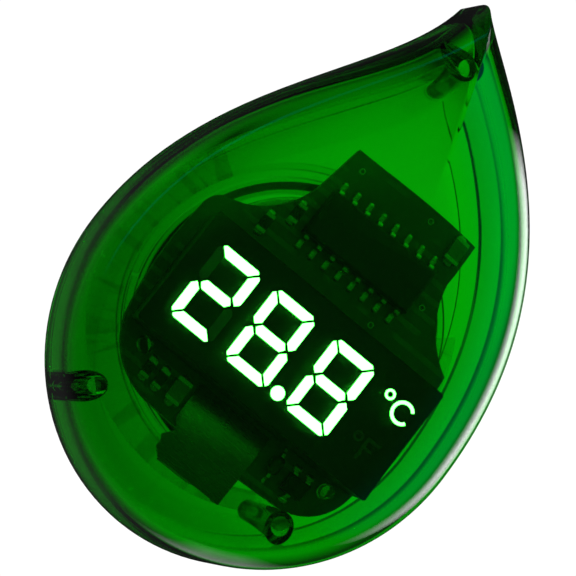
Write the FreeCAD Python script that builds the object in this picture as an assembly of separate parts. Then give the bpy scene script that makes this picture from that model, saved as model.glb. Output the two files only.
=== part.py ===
"""Drop-shaped digital thermometer with a lit display and a coin cell, held by a gel pad.

Millimetres.  +X runs along the display to its right, +Z up to the tip of the drop, and the
front faces -Y.  The origin is on the axis of the battery door, in the plane of the gel pad
that sticks to the glass.  Depths are counted from that plane towards the front, so a depth d
lies at y = -d.
"""
import FreeCAD, Part
import math
import os

from FreeCAD import Vector

os.makedirs("parts", exist_ok=True)

# ---------------------------------------------------------------- outline of the drop
BELLY_RX = 15.97          # half width of the round lower part
BELLY_RZ = 16.8          # how far the round part drops below its centre
BELLY_Z = -2.03           # height of that centre
TIP_X = -3.55             # where the two flanks would meet
TIP_Z = 28.4
LEFT_RISE = 14.0         # how long each flank keeps its direction, from the belly
RIGHT_RISE = 20.1
LEFT_TIP_PULL = 7.7     # and from the tip
RIGHT_TIP_PULL = 4.8
LEFT_TIP_ANGLE = 262.0   # directions in which the flanks leave the tip, degrees
RIGHT_TIP_ANGLE = 315.0
TIP_CUT = 0.009          # share of each flank that the rounded tip takes up

# ---------------------------------------------------------------- stack of depths
PAD_THICK = 0.8          # clear gel pad on the glass
BACK_WALL = 1.4          # back cover
SHELL_WALL = 1.2         # front shell
CELL_THICK = 3.2         # coin cell
CELL_R = 10.0
CELL_HEADROOM = 0.85     # between the cell and the board, where the spring leaf works
BOARD_THICK = 1.0
DISPLAY_THICK = 4.0
DISPLAY_GAP = 0.9        # between the display film and the shell
STRAIGHT_SIDE = 4.0      # height of the side wall before it rounds over
CROWN_INSET = 6.0        # width of the rounded zone between side and front
CROWN_POWER = 3.0        # 2 is an ellipse, more is squarer

# ---------------------------------------------------------------- clearances
RUN_FIT = 0.06           # radial, turning or sliding pairs
SLIP = 0.15              # pieces that drop into place
PRESS = 0.01             # pegs pushed into sockets

# ---------------------------------------------------------------- battery door
DOOR_R = 11.85
DOOR_SINK = 0.15         # how far the door lies below the back cover's face
LUG_REACH = 0.6
LUG_THICK = 0.6
LUG_HALF_ANGLE = 11.0
LUG_COUNT = 3
NOTCH_MARGIN = 2.0       # degrees each side of a lug
RING_WALL = 0.45         # wall outside the lug race
SEAT_THICK = 0.8
POCKET_WALL = 0.9
POCKET_HEIGHT = 2.2
REST_HALF_ANGLE = 10.0   # part of the pocket's wall that rises to the board
CELL_PLAY = 0.4          # radial, cell in its pocket
SEAL_WIDTH = 0.7
SEAL_BORE_R = 10.8
GROOVE_DEPTH = 0.55
SLOT_LENGTH = 14.0       # coin slot
SLOT_WIDTH = 1.6
SLOT_DEPTH = 0.6

# ---------------------------------------------------------------- gel pad
PAD_WIDTH = 2.2
PAD_GAP = 0.7            # between the door's edge and the pad
PAD_OPEN_ANGLE = 110.0   # left open at the top, where the key is

# ---------------------------------------------------------------- posts and pegs
POSTS = ((-2.4, 22.7), (7.4, -12.7), (-9.7, -13.1))
POST_R = 1.1
PIN_R = 0.7
PIN_HEIGHT = 2.5
LIP_THICK = 1.8          # tongue of the back cover inside the shell
LIP_HEIGHT = 0.35
BOARD_HOLES = ((-8.2, -8.1), (9.8, -8.1))
BOARD_HOLE_R = 0.7
PEG_R = 0.58
PEG_SHOULDER_R = 1.0

# ---------------------------------------------------------------- mode key and its switch
KEY_X = 6.15
KEY_Z = 13.15
KEY_R = 1.2
KEY_FLANGE_R = 1.55
KEY_FLANGE = 0.4
KEY_SINK = 0.15
KEY_TRAVEL = 0.25
STEM_R = 0.55
SWITCH_X = 6.1
SWITCH_Z = 12.55
SWITCH_SIDE = 2.4
SWITCH_HEIGHT = 1.4
SWITCH_PLATE = 0.2
PLUNGER_R = 0.5
PLUNGER_PROUD = 0.3

# ---------------------------------------------------------------- display
DISPLAY_X = 0.5
DISPLAY_Z = -2.3
DISPLAY_W = 22.0
DISPLAY_H = 10.0
LED_BOARD = 0.6
FILM = 0.12
DIGIT_H = 6.6
DIGIT_W = 4.0
STROKE = 0.78
SEGMENT_GAP = 0.13
DIGIT_X = (-7.4, -2.1, 3.75)     # digit centres from the display's centre
READING = ("abged", "abcdefg", "abcdefg")
DOT_X = 0.85
DOT_R = 0.55
MARK_X = 8.4
CELSIUS_Z = 1.95
FAHRENHEIT_Z = -1.95
MARK_H = 1.9
MARK_STROKE = 0.26
PIN_PITCH = 2.54
DISPLAY_PINS = 5
DISPLAY_PIN_R = 0.22
PIN_END = 0.3            # how far a pin sticks out of the board's back
PIN_ROW = 3.8

# ---------------------------------------------------------------- controller chip
CHIP_X = 0.95
CHIP_Z = 7.95
CHIP_L = 9.9
CHIP_W = 3.9
CHIP_T = 1.45
CHIP_LIFT = 0.15
LEAD_PITCH = 1.27
LEADS_A_SIDE = 8
LEAD_W = 0.42
LEAD_T = 0.2
LEAD_SPAN = 6.0

# ---------------------------------------------------------------- small parts on the board
RESISTORS = ((-6.9, -9.3), (-5.6, -9.3), (-5.1, 6.9), (-6.6, 4.8))
CAPACITORS = ((-4.0, -9.2), (6.3, 12.4))
TRANSISTOR = (7.5, -9.3)
THERMISTOR = (5.3, -8.9)
RESISTOR_SIZE = (0.8, 1.6, 0.45)
CAPACITOR_SIZE = (1.25, 2.0, 0.8)
END_CAP = 0.3
SOLDER_T = 0.25
JOINT_R = 0.55

# ---------------------------------------------------------------- battery contacts
CONTACT_T = 0.25
STRAP_LEFT = -2.9
STRAP_RIGHT = 3.8
STRAP_TOP = -7.6
STRAP_BOTTOM = -14.2
STRAP_FINGER_W = 3.0
CONTACT_GAP = 0.05
LEAF_W = 2.4
LEAF_HALF = 5.5

# ---------------------------------------------------------------- depths that follow
BACK_FACE = PAD_THICK
PARTING = BACK_FACE + BACK_WALL
DOOR_FACE = BACK_FACE + DOOR_SINK
SEAT_FACE = PARTING
DOOR_INNER = SEAT_FACE - CONTACT_GAP
CELL_BOTTOM = DOOR_INNER
CELL_TOP = CELL_BOTTOM + CELL_THICK
BOARD_BACK = CELL_TOP + CELL_HEADROOM
BOARD_FRONT = BOARD_BACK + BOARD_THICK
DISPLAY_FRONT = BOARD_FRONT + DISPLAY_THICK
INNER_FRONT = DISPLAY_FRONT + DISPLAY_GAP
SHELL_FRONT = INNER_FRONT + SHELL_WALL
SIDE_TOP = PARTING + STRAIGHT_SIDE
POCKET_R = CELL_R + CELL_PLAY
DOOR_HOLE_R = DOOR_R + SLIP
RACE_R = DOOR_R + LUG_REACH + SLIP
RACE_START = DOOR_INNER - LUG_THICK - RUN_FIT
SEAT_OUTER_R = RACE_R + RING_WALL
PAD_BORE_R = DOOR_HOLE_R + PAD_GAP


# ================================================================ small helpers
def plan(x, z, depth=0.0):
    """A point of the front view, at a depth."""
    return Vector(x, -depth, z)


def polar(radius, degrees):
    angle = math.radians(degrees)
    return radius * math.cos(angle), radius * math.sin(angle)


def rod(x, z, radius, start, end):
    """A round bar along the depth axis."""
    return Part.makeCylinder(radius, end - start, plan(x, z, start), Vector(0, -1, 0))


def ring(inner, outer, start, end):
    """A washer round the door's axis."""
    return rod(0, 0, outer, start, end).cut(rod(0, 0, inner, start - 1, end + 1))


def block(left, right, bottom, top, start, end):
    return Part.makeBox(right - left, end - start, top - bottom, Vector(left, -end, bottom))


def slab(points, start, end):
    """A flat piece with straight edges, from its corners in the front view."""
    corners = [plan(x, z, start) for x, z in points]
    face = Part.Face(Part.makePolygon(corners + corners[:1]))
    return face.extrude(Vector(0, start - end, 0))


def joined(pieces):
    result = pieces[0]
    for piece in pieces[1:]:
        result = result.fuse(piece)
    return result.removeSplitter()


def group(pieces):
    """Separate solids that share one file."""
    solids = []
    for piece in pieces:
        solids.extend(piece.Solids)
    return solids[0] if len(solids) == 1 else Part.makeCompound(solids)


def save(node, shape):
    shape.exportStep("parts/" + node + ".step")


# ================================================================ the drop's outline
def outline(inset, depth):
    """The drop's closed outline, moved in by inset, at a depth."""
    rx = BELLY_RX - inset
    rz = BELLY_RZ - inset
    half = math.radians((RIGHT_TIP_ANGLE - LEFT_TIP_ANGLE) / 2)
    down = math.radians((RIGHT_TIP_ANGLE + LEFT_TIP_ANGLE) / 2)
    slide = inset / math.sin(half)
    tip_x = TIP_X + slide * math.cos(down)
    tip_z = TIP_Z + slide * math.sin(down)
    shrink = 1 - inset / BELLY_RX
    centre = plan(0, BELLY_Z, depth)
    left = plan(-rx, BELLY_Z, depth)
    right = plan(rx, BELLY_Z, depth)
    low = plan(0, BELLY_Z - rz, depth)
    tip = plan(tip_x, tip_z, depth)

    belly = []
    for first, last, sign in ((left, low, -1), (low, right, 1)):
        x = sign * rx * math.cos(math.pi / 4)
        z = BELLY_Z - rz * math.sin(math.pi / 4)
        belly.append(quarter(first, last, plan(x, z, depth), centre))

    flanks = []
    for side, rise, pull, degrees in (
        (right, RIGHT_RISE, RIGHT_TIP_PULL, RIGHT_TIP_ANGLE),
        (left, LEFT_RISE, LEFT_TIP_PULL, LEFT_TIP_ANGLE),
    ):
        dx, dz = polar(pull * shrink, degrees)
        flank = Part.BezierCurve()
        flank.setPoles([side, side + Vector(0, 0, rise * shrink), tip + Vector(dx, 0, dz), tip])
        flank.segment(0, 1 - TIP_CUT)
        flanks.append(flank)

    nose = Part.BezierCurve()
    nose.setPoles([flanks[0].EndPoint, tip, flanks[1].EndPoint])
    edges = belly + [flanks[0].toShape(), nose.toShape(), flanks[1].toShape()]
    return Part.Wire(Part.__sortEdges__(edges))


def quarter(first, last, middle, centre):
    """A quarter of an ellipse as one rational curve."""
    corner = first + last - centre
    curve = Part.BezierCurve()
    curve.setPoles([first, corner, last])
    curve.setWeight(2, math.sqrt(0.5))
    return curve.toShape()


def drop_prism(inset, start, end):
    face = Part.Face(outline(inset, start))
    return face.extrude(Vector(0, start - end, 0))


def dome(inset, front, start):
    """The pebble shape: straight sides that round over into a gently crowned front."""
    height = front - SIDE_TOP
    wires = [outline(inset, start), outline(inset, SIDE_TOP)]
    for share in (0.02, 0.08, 0.18, 0.33, 0.55, 1.0):
        run = 1 - share
        rise = (1 - run ** CROWN_POWER) ** (1 / CROWN_POWER)
        wires.append(outline(inset + share * CROWN_INSET, SIDE_TOP + height * rise))
    upper = Part.makeLoft(wires[1:], True, False)
    lower = Part.makeLoft(wires[:2], True, True)
    return lower.fuse(upper)


# ================================================================ shells
def front_shell():
    outer = dome(0.0, SHELL_FRONT, PARTING)
    inner = dome(SHELL_WALL, INNER_FRONT, PARTING - 0.5)
    shell = outer.cut(inner)
    for x, z in POSTS:
        post = rod(x, z, POST_R, PARTING + SLIP, SHELL_FRONT).common(outer)
        shell = shell.fuse(post)
    for x, z in POSTS:
        shell = shell.cut(rod(x, z, PIN_R + PRESS, PARTING, INNER_FRONT))
    return shell.removeSplitter()


def back_cover():
    plate = drop_prism(0.0, BACK_FACE + 0.5, PARTING)
    edge = Part.makeLoft([outline(0.5, BACK_FACE), outline(0.15, BACK_FACE + 0.15),
                          outline(0.0, BACK_FACE + 0.5)], True, False)
    lip_in = SHELL_WALL + SLIP / 2
    lip = drop_prism(lip_in, PARTING, PARTING + LIP_HEIGHT).cut(
        drop_prism(lip_in + LIP_THICK, PARTING - 1, PARTING + 3))
    cover = plate.fuse(edge).fuse(lip)
    cover = cover.fuse(rod(0, 0, SEAT_OUTER_R, PARTING - 0.2, PARTING + SEAT_THICK))
    cover = cover.fuse(rod(0, 0, POCKET_R + POCKET_WALL, PARTING, PARTING + POCKET_HEIGHT))
    cover = cover.fuse(sector(POCKET_R, POCKET_R + POCKET_WALL, 90, REST_HALF_ANGLE, PARTING, BOARD_BACK))
    cover = cover.cut(rod(0, 0, POCKET_R, BACK_FACE - 1, BOARD_BACK + 1))
    cover = cover.cut(rod(0, 0, DOOR_HOLE_R, BACK_FACE - 1, SEAT_FACE))
    cover = cover.cut(rod(0, 0, RACE_R, RACE_START, SEAT_FACE))
    for index in range(LUG_COUNT):
        middle = 90 + index * 360 / LUG_COUNT
        cover = cover.cut(sector(0, RACE_R, middle, LUG_HALF_ANGLE + NOTCH_MARGIN,
                                 BACK_FACE - 1, SEAT_FACE))
    finger = STRAP_FINGER_W / 2 + 2 * SLIP
    cover = cover.cut(block(-finger, finger, -POCKET_R - POCKET_WALL - 1, -POCKET_R + 1.5,
                            PARTING + SEAT_THICK, BOARD_BACK + 1))
    for x, z in POSTS:
        cover = cover.cut(rod(x, z, POST_R + SLIP, PARTING, PARTING + 3))
        cover = cover.fuse(rod(x, z, PIN_R, PARTING - 0.1, PARTING + PIN_HEIGHT))
    for x, z in BOARD_HOLES:
        if math.hypot(x, z) - PEG_SHOULDER_R > POCKET_R:
            cover = cover.fuse(rod(x, z, PEG_SHOULDER_R, PARTING, BOARD_BACK))
        cover = cover.fuse(rod(x, z, PEG_R, PARTING, BOARD_FRONT + 0.7))
    for x, z in pin_places():
        cover = cover.cut(rod(x, z, JOINT_R + SLIP, BOARD_BACK - PIN_END - SLIP, BOARD_BACK + 1))
    cover = cover.cut(rod(KEY_X, KEY_Z, KEY_R + RUN_FIT, BACK_FACE - 1, PARTING + 1))
    cover = cover.cut(rod(KEY_X, KEY_Z, KEY_FLANGE_R + SLIP, PARTING, PARTING + 2))
    return cover.removeSplitter()


def sector(inner, outer, middle, half_angle, start, end):
    """Part of a ring round the door's axis, centred on an angle."""
    body = rod(0, 0, outer, start, end)
    if inner > 0:
        body = body.cut(rod(0, 0, inner, start - 1, end + 1))
    reach = 2 * outer / math.cos(math.radians(half_angle))
    wedge = slab([(0, 0), polar(reach, middle - half_angle), polar(reach, middle + half_angle)],
                 start, end)
    return body.common(wedge)


def adhesive_pad():
    full = ring(PAD_BORE_R, PAD_BORE_R + PAD_WIDTH, 0, PAD_THICK)
    opening = sector(0, PAD_BORE_R + PAD_WIDTH + 1, 90, PAD_OPEN_ANGLE / 2, -1, PAD_THICK + 1)
    return full.cut(opening)


# ================================================================ battery door and cell
def battery_door():
    door = rod(0, 0, DOOR_R, DOOR_FACE, DOOR_INNER)
    for index in range(LUG_COUNT):
        middle = 90 + index * 360 / LUG_COUNT
        door = door.fuse(sector(DOOR_R - 1, DOOR_R + LUG_REACH, middle, LUG_HALF_ANGLE,
                                DOOR_INNER - LUG_THICK, DOOR_INNER))
    door = door.removeSplitter()
    groove = ring(SEAL_BORE_R - RUN_FIT, SEAL_BORE_R + SEAL_WIDTH + RUN_FIT,
                  DOOR_INNER - GROOVE_DEPTH, DOOR_INNER + 1)
    half = SLOT_LENGTH / 2 - SLOT_WIDTH / 2
    slot = joined([block(-half, half, -SLOT_WIDTH / 2, SLOT_WIDTH / 2, 0, DOOR_FACE + SLOT_DEPTH),
                   rod(-half, 0, SLOT_WIDTH / 2, 0, DOOR_FACE + SLOT_DEPTH),
                   rod(half, 0, SLOT_WIDTH / 2, 0, DOOR_FACE + SLOT_DEPTH)])
    return door.cut(groove).cut(slot)


def door_seal():
    seal = ring(SEAL_BORE_R, SEAL_BORE_R + SEAL_WIDTH, DOOR_INNER - GROOVE_DEPTH, SEAT_FACE)
    return seal.makeFillet(0.15, seal.Edges)


def coin_cell():
    can_top = CELL_TOP - 0.3
    can = rod(0, 0, CELL_R, CELL_BOTTOM, can_top)
    rims = [e for e in can.Edges if e.Closed]
    can = can.makeFillet(0.25, rims).cut(rod(0, 0, CELL_R - 0.7, CELL_BOTTOM + 0.3, CELL_TOP + 1))
    gasket = ring(CELL_R - 1.0, CELL_R - 0.7, CELL_BOTTOM + 0.3, can_top + 0.05)
    cap = rod(0, 0, CELL_R - 1.0, CELL_BOTTOM + 0.3, CELL_TOP)
    top = [e for e in cap.Edges if e.Closed and abs(e.CenterOfMass.y + CELL_TOP) < 0.01]
    core = rod(0, 0, CELL_R - 1.3, CELL_BOTTOM + 0.3, CELL_TOP - 0.3)
    cap = cap.makeFillet(0.25, top).cut(core)
    return can, gasket, cap, core


# ================================================================ board
def main_board():
    """The irregular board: a neck for the chip, two shoulders and two lower lobes."""
    start = BOARD_BACK
    neck_r, waist_r = (7.6, 13.8), (7.4, 10.0)
    neck_l, waist_l = (-4.4, 13.8), (-5.0, 9.6)
    shoulder_r, lobe_r = (11.9, 4.5), (11.8, -7.6)
    shoulder_l, lobe_l = (-10.3, 4.6), (-10.8, -7.2)
    foot_r, foot_l = (6.8, -11.4), (-4.9, -11.4)
    edges = [
        straight(neck_l, neck_r, start),
        straight(neck_r, waist_r, start),
        bow(waist_r, (8.7, 6.9), shoulder_r, start),
        bow(shoulder_r, (12.2, -1.6), lobe_r, start),
        bow(lobe_r, (10.5, -10.2), foot_r, start),
        straight(foot_r, foot_l, start),
        bow(foot_l, (-8.6, -10.2), lobe_l, start),
        bow(lobe_l, (-11.6, -1.4), (-11.4, 2.9), start),
        bow((-11.4, 2.9), (-11.1, 4.0), shoulder_l, start),
        bow(shoulder_l, (-6.4, 6.8), waist_l, start),
        straight(waist_l, neck_l, start),
    ]
    face = Part.Face(Part.Wire(Part.__sortEdges__(edges)))
    board = face.extrude(Vector(0, -BOARD_THICK, 0))
    for x, z in BOARD_HOLES:
        board = board.cut(rod(x, z, BOARD_HOLE_R, start - 1, BOARD_FRONT + 1))
    for x, z in pin_places():
        board = board.cut(rod(x, z, DISPLAY_PIN_R + 0.05, start - 1, BOARD_FRONT + 1))
    return board


def straight(first, last, depth):
    return Part.LineSegment(plan(*first, depth), plan(*last, depth)).toShape()


def bow(first, middle, last, depth):
    return Part.Arc(plan(*first, depth), plan(*middle, depth), plan(*last, depth)).toShape()


def chip():
    front = BOARD_FRONT + CHIP_LIFT
    left, right = CHIP_X - CHIP_L / 2, CHIP_X + CHIP_L / 2
    body = block(left, right, CHIP_Z - CHIP_W / 2, CHIP_Z + CHIP_W / 2, front, front + CHIP_T)
    long_edges = [e for e in body.Edges if abs(e.CenterOfMass.y + front + CHIP_T) < 0.01]
    body = body.makeChamfer(0.2, long_edges)
    notch = rod(left, CHIP_Z, 0.5, front + CHIP_T - 0.15, front + CHIP_T + 1)
    return body.cut(notch)


def chip_leads():
    leads = []
    waist = BOARD_FRONT + CHIP_LIFT + CHIP_T / 2
    inner = CHIP_W / 2
    outer = LEAD_SPAN / 2
    for side in (1, -1):
        for index in range(LEADS_A_SIDE):
            x = CHIP_X + (index - (LEADS_A_SIDE - 1) / 2) * LEAD_PITCH
            path = [(inner, waist), (inner + 0.35, waist), (inner + 0.5, BOARD_FRONT + LEAD_T),
                    (outer, BOARD_FRONT + LEAD_T), (outer, BOARD_FRONT),
                    (inner + 0.32, BOARD_FRONT), (inner + 0.17, waist - LEAD_T),
                    (inner, waist - LEAD_T)]
            leads.append(profile_bar(x, LEAD_W, [(CHIP_Z + side * z, d) for z, d in path]))
    return group(leads)


def profile_bar(x, width, points):
    """A strip bent in the side view: points are (z, depth), width runs along X."""
    corners = [Vector(x - width / 2, -depth, z) for z, depth in points]
    face = Part.Face(Part.makePolygon(corners + corners[:1]))
    return face.extrude(Vector(width, 0, 0))


def passives(places, size):
    """Bodies and metal ends of chip parts that stand upright in the front view."""
    width, length, height = size
    bodies, ends = [], []
    for x, z in places:
        low, high = z - length / 2, z + length / 2
        left, right = x - width / 2, x + width / 2
        top = BOARD_FRONT + height
        bodies.append(block(left, right, low + END_CAP, high - END_CAP, BOARD_FRONT, top))
        ends.append(block(left, right, low, low + END_CAP, BOARD_FRONT, top))
        ends.append(block(left, right, high - END_CAP, high, BOARD_FRONT, top))
    return group(bodies), group(ends)


def transistor():
    x, z = TRANSISTOR
    body = block(x - 0.95, x + 0.95, z - 0.75, z + 0.75, BOARD_FRONT + 0.1, BOARD_FRONT + 1.05)
    front = [e for e in body.Edges if abs(e.CenterOfMass.y + BOARD_FRONT + 1.05) < 0.01]
    legs = []
    for shift, side in ((-0.6, 1), (0.6, 1), (0.0, -1)):
        path = [(0.75, BOARD_FRONT + 0.6), (0.95, BOARD_FRONT + 0.6), (1.05, BOARD_FRONT + 0.15),
                (1.35, BOARD_FRONT + 0.15), (1.35, BOARD_FRONT), (0.93, BOARD_FRONT),
                (0.83, BOARD_FRONT + 0.45), (0.75, BOARD_FRONT + 0.45)]
        legs.append(profile_bar(x + shift, 0.4, [(z + side * a, d) for a, d in path]))
    return body.makeChamfer(0.15, front), group(legs)


def thermistor():
    x, z = THERMISTOR
    radius, half = 0.5, 0.8
    axis = BOARD_FRONT + radius + 0.05
    barrel = half - radius
    bead = Part.makeCylinder(radius, 2 * barrel, Vector(x, -axis, z - barrel), Vector(0, 0, 1))
    for end in (z - barrel, z + barrel):
        bead = bead.fuse(Part.makeSphere(radius, Vector(x, -axis, end)))
    bead = bead.removeSplitter()
    leads = []
    for side in (1, -1):
        path = [(half - 0.02, axis + 0.1), (half + 0.3, axis + 0.1), (half + 0.5, BOARD_FRONT + 0.2),
                (half + 0.8, BOARD_FRONT + 0.2), (half + 0.8, BOARD_FRONT),
                (half + 0.35, BOARD_FRONT), (half + 0.15, axis - 0.1),
                (half - 0.02, axis - 0.1)]
        leads.append(profile_bar(x, 0.25, [(z + side * a, d) for a, d in path]).cut(bead))
    return bead, group(leads)


# ================================================================ display module
def segment_shapes(centre_x):
    """Corner points of the seven segments, named a to g, of one digit."""
    w, h, s, gap = DIGIT_W / 2, DIGIT_H / 2, STROKE, SEGMENT_GAP
    nip = s * 0.45
    top = [(-w + nip + gap, h), (w - nip - gap, h), (w - gap - nip / 2, h - nip / 2),
           (w - s - gap, h - s), (-w + s + gap, h - s), (-w + gap + nip / 2, h - nip / 2)]
    side = [(w, h - nip - gap), (w, s * 0.45 + gap), (w - s * 0.45, gap), (w - s, s * 0.5 + gap),
            (w - s, h - s - gap), (w - nip / 2, h - nip / 2 - gap)]
    bar = [(-w + s * 0.6 + gap, 0), (-w + s + gap, s / 2), (w - s - gap, s / 2),
           (w - s * 0.6 - gap, 0), (w - s - gap, -s / 2), (-w + s + gap, -s / 2)]
    shapes = {
        "a": top,
        "d": [(x, -z) for x, z in top],
        "b": side,
        "c": [(x, -z) for x, z in side],
        "f": [(-x, z) for x, z in side],
        "e": [(-x, -z) for x, z in side],
        "g": bar,
    }
    middle_x = DISPLAY_X + centre_x
    return {k: [(middle_x + x, DISPLAY_Z + z) for x, z in v] for k, v in shapes.items()}


def segments(front, rear):
    lit, dark = [], []
    for centre_x, shown in zip(DIGIT_X, READING):
        for name, points in segment_shapes(centre_x).items():
            bar = slab(points, rear, front)
            (lit if name in shown else dark).append(bar)
    lit.append(rod(DISPLAY_X + DOT_X, DISPLAY_Z - DIGIT_H / 2 + DOT_R * 0.9, DOT_R, rear, front))
    return lit, dark


def unit_mark(letter, z, front, rear):
    """A degree ring and a letter, drawn as thin light windows."""
    x = DISPLAY_X + MARK_X
    z = DISPLAY_Z + z
    s = MARK_STROKE
    ring_x, ring_z = x - 0.75, z + MARK_H / 2 - 0.42
    mark = [rod(ring_x, ring_z, 0.42, rear, front).cut(rod(ring_x, ring_z, 0.42 - s * 0.75, 0, 99))]
    left, right = x - 0.1, x + 1.35
    low, high = z - MARK_H / 2, z + MARK_H / 2
    if letter == "C":
        r = MARK_H / 2
        cx = left + r
        open_c = rod(cx, z, r, rear, front).cut(rod(cx, z, r - s, 0, 99))
        gap = slab([(cx, z), (cx + 3, z + 2.2), (cx + 3, z - 2.2)], 0, 99)
        mark.append(open_c.cut(gap))
    else:
        mark.append(joined([block(left, left + s, low, high, rear, front),
                            block(left, right - 0.2, high - s, high, rear, front),
                            block(left, right - 0.45, z - s / 2 + 0.1, z + s / 2 + 0.1, rear, front)]))
    return mark


def display():
    rear = BOARD_FRONT
    wells = rear + LED_BOARD
    case_front = DISPLAY_FRONT - FILM
    left, right = DISPLAY_X - DISPLAY_W / 2, DISPLAY_X + DISPLAY_W / 2
    low, high = DISPLAY_Z - DISPLAY_H / 2, DISPLAY_Z + DISPLAY_H / 2
    led_board = block(left + 0.2, right - 0.2, low + 0.2, high - 0.2, rear, wells)
    for x, z in pin_places():
        led_board = led_board.cut(rod(x, z, DISPLAY_PIN_R + 0.02, 0, wells + 1))
    lit, dark = segments(DISPLAY_FRONT, wells + 0.6)
    celsius = unit_mark("C", CELSIUS_Z, DISPLAY_FRONT, wells + 0.6)
    fahrenheit = unit_mark("F", FAHRENHEIT_Z, DISPLAY_FRONT, wells + 0.6)
    openings = group(lit + dark + celsius + fahrenheit)
    case = block(left, right, low, high, wells, case_front)
    corners = [e for e in case.Edges if abs(abs(e.tangentAt(e.FirstParameter).y) - 1) < 0.01]
    case = case.makeFillet(0.25, corners).cut(openings)
    film = block(left, right, low, high, case_front, DISPLAY_FRONT)
    corners = [e for e in film.Edges if abs(abs(e.tangentAt(e.FirstParameter).y) - 1) < 0.01]
    film = film.makeFillet(0.25, corners).cut(openings)
    cavities = []
    dies = []
    for piece in lit + dark + celsius[:1] + fahrenheit[:1]:
        spot = piece.Solids[0].CenterOfMass
        cavities.append(rod(spot.x, spot.z, 0.3, wells, wells + 0.6))
        dies.append(block(spot.x - 0.15, spot.x + 0.15, spot.z - 0.15, spot.z + 0.15,
                          wells, wells + 0.15))
    case = case.cut(group(cavities))
    return led_board, case, film, group(lit), group(dark), group(celsius), group(fahrenheit), group(dies)


def pin_places():
    places = []
    for row in (PIN_ROW, -PIN_ROW):
        for index in range(DISPLAY_PINS):
            x = DISPLAY_X + (index - (DISPLAY_PINS - 1) / 2) * PIN_PITCH
            places.append((x, DISPLAY_Z + row))
    return places


def display_pins():
    return group([rod(x, z, DISPLAY_PIN_R, BOARD_BACK - PIN_END, BOARD_FRONT + LED_BOARD)
                  for x, z in pin_places()])


def solder_joints():
    """Fillets of solder round the display pins on the board's back."""
    joints = []
    for x, z in pin_places():
        cone = Part.makeCone(JOINT_R, 0.3, SOLDER_T, plan(x, z, BOARD_BACK), Vector(0, 1, 0))
        joints.append(cone.cut(rod(x, z, DISPLAY_PIN_R, 0, 99)))
    return group(joints)


# ================================================================ battery contacts
def positive_contact():
    """Plate on the board's front, bent round its lower edge and back to the cell's rim."""
    t = CONTACT_T
    plate = slab([(STRAP_LEFT, STRAP_TOP), (STRAP_RIGHT, STRAP_TOP), (STRAP_RIGHT, STRAP_BOTTOM),
                  (STRAP_LEFT + 0.7, STRAP_BOTTOM), (STRAP_LEFT + 0.1, STRAP_BOTTOM + 0.6),
                  (STRAP_LEFT + 0.1, STRAP_BOTTOM + 1.2), (STRAP_LEFT - 0.15, STRAP_BOTTOM + 1.6),
                  (STRAP_LEFT + 0.6, STRAP_BOTTOM + 2.6), (STRAP_LEFT, STRAP_BOTTOM + 3.4)],
                 BOARD_FRONT, BOARD_FRONT + t)
    reach = CELL_BOTTOM + CELL_THICK / 2
    rim = -CELL_R - CONTACT_GAP
    leg = profile_bar(0, STRAP_FINGER_W, [
        (STRAP_BOTTOM, BOARD_FRONT + t), (STRAP_BOTTOM, reach - t), (STRAP_BOTTOM + 1.2, reach - t),
        (rim, reach + 0.3 - t), (rim, reach + 0.3), (STRAP_BOTTOM + 1.2, reach),
        (STRAP_BOTTOM + t, reach), (STRAP_BOTTOM + t, BOARD_FRONT + t)])
    flange = block(STRAP_RIGHT - t, STRAP_RIGHT, STRAP_BOTTOM, -11.4 - SLIP, BOARD_FRONT - 2.2,
                   BOARD_FRONT)
    return joined([plate, leg, flange])


def negative_contact():
    t = 0.2
    base = BOARD_BACK
    tip = CELL_TOP + CONTACT_GAP
    top = [(-LEAF_HALF, base), (-LEAF_HALF + 2.2, base), (-0.9, tip + t), (0.9, tip + t),
           (1.6, tip + t + 0.25)]
    under = [(1.6, tip + 0.25), (0.9, tip), (-0.9, tip), (-LEAF_HALF + 2.1, base - t),
             (-LEAF_HALF, base - t)]
    corners = [Vector(x, -depth, -LEAF_W / 2 - 0.5) for x, depth in top + under]
    face = Part.Face(Part.makePolygon(corners + corners[:1]))
    return face.extrude(Vector(0, 0, LEAF_W))


# ================================================================ mode key and its switch
def mode_key():
    stem_end = BOARD_BACK - SWITCH_HEIGHT - PLUNGER_PROUD
    cap = rod(KEY_X, KEY_Z, KEY_R, BACK_FACE + KEY_SINK, PARTING + RUN_FIT + KEY_FLANGE)
    rim = [e for e in cap.Edges if e.Closed and abs(e.CenterOfMass.y + BACK_FACE + KEY_SINK) < 0.01]
    cap = cap.makeFillet(0.3, rim)
    flange = rod(KEY_X, KEY_Z, KEY_FLANGE_R, PARTING + RUN_FIT, PARTING + RUN_FIT + KEY_FLANGE)
    stem = rod(SWITCH_X, SWITCH_Z, STEM_R, PARTING + RUN_FIT, stem_end)
    return joined([cap, flange, stem])


def key_switch():
    front = BOARD_BACK
    rear = front - SWITCH_HEIGHT
    half = SWITCH_SIDE / 2
    x, z = SWITCH_X, SWITCH_Z
    base = block(x - half, x + half, z - half, z + half, rear + SWITCH_PLATE, front)
    base = base.cut(rod(x, z, 0.85, rear, front - 0.3))
    cover = block(x - half, x + half, z - half, z + half, rear, rear + SWITCH_PLATE)
    cover = cover.cut(rod(x, z, PLUNGER_R + RUN_FIT, rear - 1, rear + 1))
    step = rear + SWITCH_PLATE + 0.02
    plunger = joined([rod(x, z, PLUNGER_R, rear - PLUNGER_PROUD, step + 0.3),
                      rod(x, z, 0.7, step, step + 0.3)])
    snap = rod(x, z, 0.8, front - 0.36, front - 0.3)
    return base, cover, plunger, snap


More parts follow.
